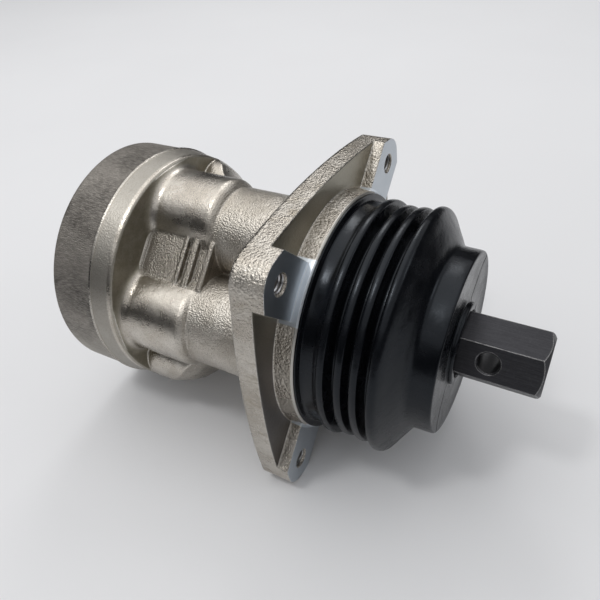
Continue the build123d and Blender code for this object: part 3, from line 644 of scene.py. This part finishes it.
MATERIALS = {
    "casting": casting_material(),
    "machined_steel": steel_material("machined_steel", (0.44, 0.44, 0.45), (0.60, 0.60, 0.61), 0.24, 0.36),
    "hard_steel": steel_material("ground_hard_steel", (0.50, 0.50, 0.51), (0.64, 0.64, 0.65), 0.14, 0.24),
    "spring_steel": steel_material(
        "spring_steel", (0.26, 0.26, 0.27), (0.40, 0.40, 0.41), 0.28, 0.40, (1.5, 1.5, 1.5), 0.1),
    "guide_metal": steel_material("guide_zinc", (0.46, 0.45, 0.40), (0.60, 0.585, 0.52), 0.28, 0.40),
    "black_oxide": oxide_material(),
    "boot_rubber": rubber_material(),
    "seal_rubber": plain_material("seal_rubber", (0.012, 0.012, 0.012), (0.022, 0.021, 0.020), 0.45),
}


def dress(obj, slot):
    """Gives an object the material of its slot."""
    if not obj.material_slots:
        obj.data.materials.append(MATERIALS[slot])
    for place in obj.material_slots:
        place.material = MATERIALS[slot]


def slot_of(node):
    """Finish of a CAD node, from what it is made of."""
    if node == "valve_body":
        return "casting"
    if node == "boot":
        return "boot_rubber"
    if node == "lever_bar":
        return "black_oxide"
    if node in ("guide_o_rings", "rod_seals"):
        return "seal_rubber"
    if "spring_" in node and "seat" not in node:
        return "spring_steel"
    if node.startswith("plunger_guide"):
        return "guide_metal"
    if node.startswith(("plunger_", "spool_", "joint_cross", "lower_bushes", "upper_bushes")):
        return "hard_steel"
    return "machined_steel"


for name, node in frame["nodes"].items():
    dress(node, slot_of(name))


# ---------------------------------------------------------------- boot
CRESTS = [(45.3, 11.3), (44.2, 17.2), (44.5, 22.9)]      # (r, z) of the three folds below the cone
GROOVE_R = 39.7
GROOVE_IN_R = GROOVE_R - 1.4     # inside wall behind a groove


def fold(crest_r, z, half=1.55):
    """Control points of one rounded fold, from below to above."""
    return [
        (crest_r - 1.6, z - half), (crest_r, z - half + 0.2),
        (crest_r, z + half - 0.2), (crest_r - 1.6, z + half)]


def groove(z, half=1.15):
    """Control points of the groove between two folds."""
    return [(GROOVE_R + 1.2, z - half), (GROOVE_R, z - 0.6), (GROOVE_R, z + 0.6), (GROOVE_R + 1.2, z + half)]


def boot_halves():
    """The rubber boot as two shells that meet in a groove, above the joint cross."""
    low_outer = [(43.85, -5.7), (43.85, 2.55), (45.95, 2.56), (46.0, 2.9), (45.9, 3.3), (43.9, 3.5),
                 (43.3, 4.2), (43.2, 7.8), (43.6, 9.0)]
    low_outer += fold(*CRESTS[0]) + groove(14.25) + fold(*CRESTS[1])
    low_outer += [(GROOVE_R + 1.2, MEETING_Z - 1.0), (GROOVE_R, MEETING_Z - 0.4), (GROOVE_R, MEETING_Z)]
    low_inner = [(GROOVE_IN_R, MEETING_Z), (GROOVE_R - 1.2, 18.6), (41.6, 17.2), (GROOVE_IN_R, 15.4),
                 (GROOVE_IN_R, 13.1), (42.6, 11.3), (41.8, 8.4), (41.8, -1.9), (39.9, -1.95), (39.9, -5.7)]
    high_outer = [(GROOVE_R, MEETING_Z), (GROOVE_R, MEETING_Z + 0.4), (GROOVE_R + 1.2, MEETING_Z + 1.0)]
    high_outer += fold(*CRESTS[2]) + groove(26.0)
    high_outer += [(44.2, 27.5), (45.9, 28.2), (46.0, 29.6), (45.4, 30.9), (43.6, 32.1), (40.8, 33.7),
                   (37.8, 35.6), (35.2, 37.1), (34.1, 38.2), (33.8, 39.4), (33.8, 45.2), (33.4, 45.9),
                   (32.6, 46.0), (29.3, 45.4), (19.0, 44.95), (16.4, 44.9), (15.4, 45.2), (15.2, 45.8),
                   (15.2, 46.5), (14.9, 47.1), (14.2, 47.2), (12.9, 47.2)]
    high_inner = [(12.9, 42.3), (29.6, 42.2), (31.2, 40.4), (31.2, 37.6), (38.8, 32.2), (43.2, 29.3),
                  (GROOVE_IN_R, 27.2), (GROOVE_IN_R, 24.8), (41.8, 22.9), (GROOVE_IN_R, 21.2),
                  (GROOVE_IN_R, MEETING_Z)]
    lower = outward(lathe("boot_lower_folds", rounded(low_outer) + rounded(low_inner, 2)))
    upper = outward(lathe("boot_upper_folds", rounded(high_outer) + rounded(high_inner, 2)))
    return lower, upper


boot_lower, boot_upper = boot_halves()
for half in (boot_lower, boot_upper):
    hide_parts("boot")
    dress(half, "boot_rubber")
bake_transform(boot_lower)
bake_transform(boot_upper)


# ---------------------------------------------------------------- springs
def springs():
    """Round-wire springs, squeezed between the housing and each push rod."""
    for k, angle in enumerate(BORE_ANGLES, start=1):
        for kind, sizes, lowered in (("return", RETURN_SPRING, 0.0), ("control", CONTROL_SPRING, 0.32)):
            node = f"{kind}_spring_{k}"
            low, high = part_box(node)
            low_z, high_z = low[2] / MM, high[2] / MM
            wire = placed(helix_tube(low_z, high_z, **sizes), *on_circle(BORE_PITCH_R, angle))
            coil = outward(add_mesh(node + "_wire", *wire))
            dress(coil, "spring_steel")
            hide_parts(node)
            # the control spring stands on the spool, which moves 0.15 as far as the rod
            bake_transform(coil)


springs()


# ---------------------------------------------------------------- threads
def threads():
    """M8 threads in the four ears and G1/4 threads in the six ports."""
    for name, hole_r, thread, pitch_r, angles in (
        ("ear_threads", EAR_HOLE_R, EAR_THREAD, EAR_PCR, EAR_ANGLES),
        ("port_threads", PORT_R, PORT_THREAD, PORT_PITCH_R, BORE_ANGLES + PUMP_AND_TANK_ANGLES),
    ):
        ridges = [placed(thread_ridge(hole_r, **thread), *on_circle(pitch_r, angle)) for angle in angles]
        piece = outward(add_mesh(name, *joined(ridges), smooth=False))
        dress(piece, "machined_steel")
        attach(piece, "housing")


threads()


# ---------------------------------------------------------------- table, light and camera, in metres
LAMP_AIM = Vector((0, 0, -0.02))
LIGHT_COLOUR = (0.54, 0.545, 0.555)
SEEN_COLOUR = (0.72, 0.72, 0.73)
CAMERA_PLACE = (0.1552, -0.1456, 0.0762)
CAMERA_VIEW = Vector((-0.6618, 0.6272, -0.4107))
CAMERA_UP = Vector((-0.5799, -0.7754, -0.2498))
LENS_MM = 34.6


def stage_piece(name, vertices, faces, material):
    """Something of the studio, from points in metres."""
    mesh = bpy.data.meshes.new(name)
    mesh.from_pydata(vertices, [], faces)
    mesh.materials.append(material)
    obj = bpy.data.objects.new(name, mesh)
    scene.collection.objects.link(obj)
    return obj


def table():
    """Square table under the part, facing it."""
    half, y = 2.5, TABLE_Y * MM
    corners = [(-half, y, -half), (half, y, -half), (half, y, half), (-half, y, half)]
    obj = stage_piece("table", corners, [(0, 1, 2, 3)], table_material())
    if obj.data.polygons[0].normal.y > 0:
        obj.data.flip_normals()


def flags():
    """Dark cloth round the studio below the lamps, which gives metal something dark to reflect."""
    steps, radius = 48, 0.75
    top = -0.42                  # Y of the upper edge, with -Y up from the table
    vertices, faces = [], []
    for step in range(steps):
        angle = 2 * math.pi * step / steps
        x, z = radius * math.cos(angle), radius * math.sin(angle)
        vertices += [(x, TABLE_Y * MM, z), (x, top, z)]
    for step in range(steps):
        a, b = 2 * step, 2 * ((step + 1) % steps)
        faces.append((a, b, b + 1, a + 1))
    cloth = plain_material("dark_cloth", (0.030, 0.030, 0.032), (0.045, 0.045, 0.047), 0.9)
    obj = stage_piece("flags", vertices, faces, cloth)
    obj.visible_camera = False
    obj.visible_diffuse = False
    obj.visible_shadow = False


def lamp(name, place, size, power, colour=(1, 1, 1)):
    """Soft square lamp that looks at the object, with its size in metres and its power in watts."""
    light = bpy.data.lights.new(name, "AREA")
    light.shape = "RECTANGLE"
    light.size = light.size_y = size
    light.energy = power
    light.color = colour
    obj = bpy.data.objects.new(name, light)
    obj.location = place
    obj.rotation_euler = (LAMP_AIM - Vector(place)).to_track_quat("-Z", "Y").to_euler()
    scene.collection.objects.link(obj)


def world():
    """Grey light on the part, and a paler background for camera, glossy and transmission rays."""
    background = bpy.data.worlds.new("studio")
    background.use_nodes = True
    scene.world = background
    nodes, links = background.node_tree.nodes, background.node_tree.links
    shade = nodes["Background"]
    path = nodes.new("ShaderNodeLightPath")
    seen = path.outputs["Is Camera Ray"]
    for ray in ("Is Glossy Ray", "Is Transmission Ray"):
        either = nodes.new("ShaderNodeMath")
        either.operation = "MAXIMUM"
        links.new(seen, either.inputs[0])
        links.new(path.outputs[ray], either.inputs[1])
        seen = either.outputs[0]
    tint = nodes.new("ShaderNodeMix")
    tint.data_type = "RGBA"
    links.new(seen, tint.inputs[0])
    tint.inputs[6].default_value = (*LIGHT_COLOUR, 1)
    tint.inputs[7].default_value = (*SEEN_COLOUR, 1)
    links.new(tint.outputs[2], shade.inputs["Color"])
    shade.inputs["Strength"].default_value = 1.0


UP = Vector((0, -1, 0))                      # away from the table
AWAY = Vector((-0.85, 0, -0.527))            # across the table, away from the camera
RIGHT = Vector((-0.527, 0, 0.85))            # across the table, to the camera's right


def spot(up, away, right):
    """A place in metres from the part, by directions on the table."""
    return tuple(UP * up + AWAY * away + RIGHT * right)


table()
world()
lamp("key_above", spot(1.40, 0.25, -0.35), 1.6, 7.0, (1.0, 0.995, 0.98))
lamp("lamp_near", spot(1.15, -0.20, -0.56), 0.17, 2.2)
lamp("lamp_far", spot(0.90, 0.85, 0.15), 0.35, 1.7)
lamp("lamp_right", spot(0.9, -0.3, 1.1), 0.4, 0.8, (0.93, 0.97, 1.0))
flags()


def add_camera():
    """The photograph's camera."""
    data = bpy.data.cameras.new("camera")
    data.lens = LENS_MM
    data.sensor_width = 36.0
    data.clip_start = 0.01
    obj = bpy.data.objects.new("camera", data)
    back = -CAMERA_VIEW.normalized()
    right = CAMERA_UP.normalized().cross(back).normalized()
    up = back.cross(right)
    turned = Matrix((right, up, back)).transposed().to_4x4()
    obj.matrix_world = Matrix.Translation(CAMERA_PLACE) @ turned
    scene.collection.objects.link(obj)
    scene.camera = obj


add_camera()

bpy.context.view_layer.update()
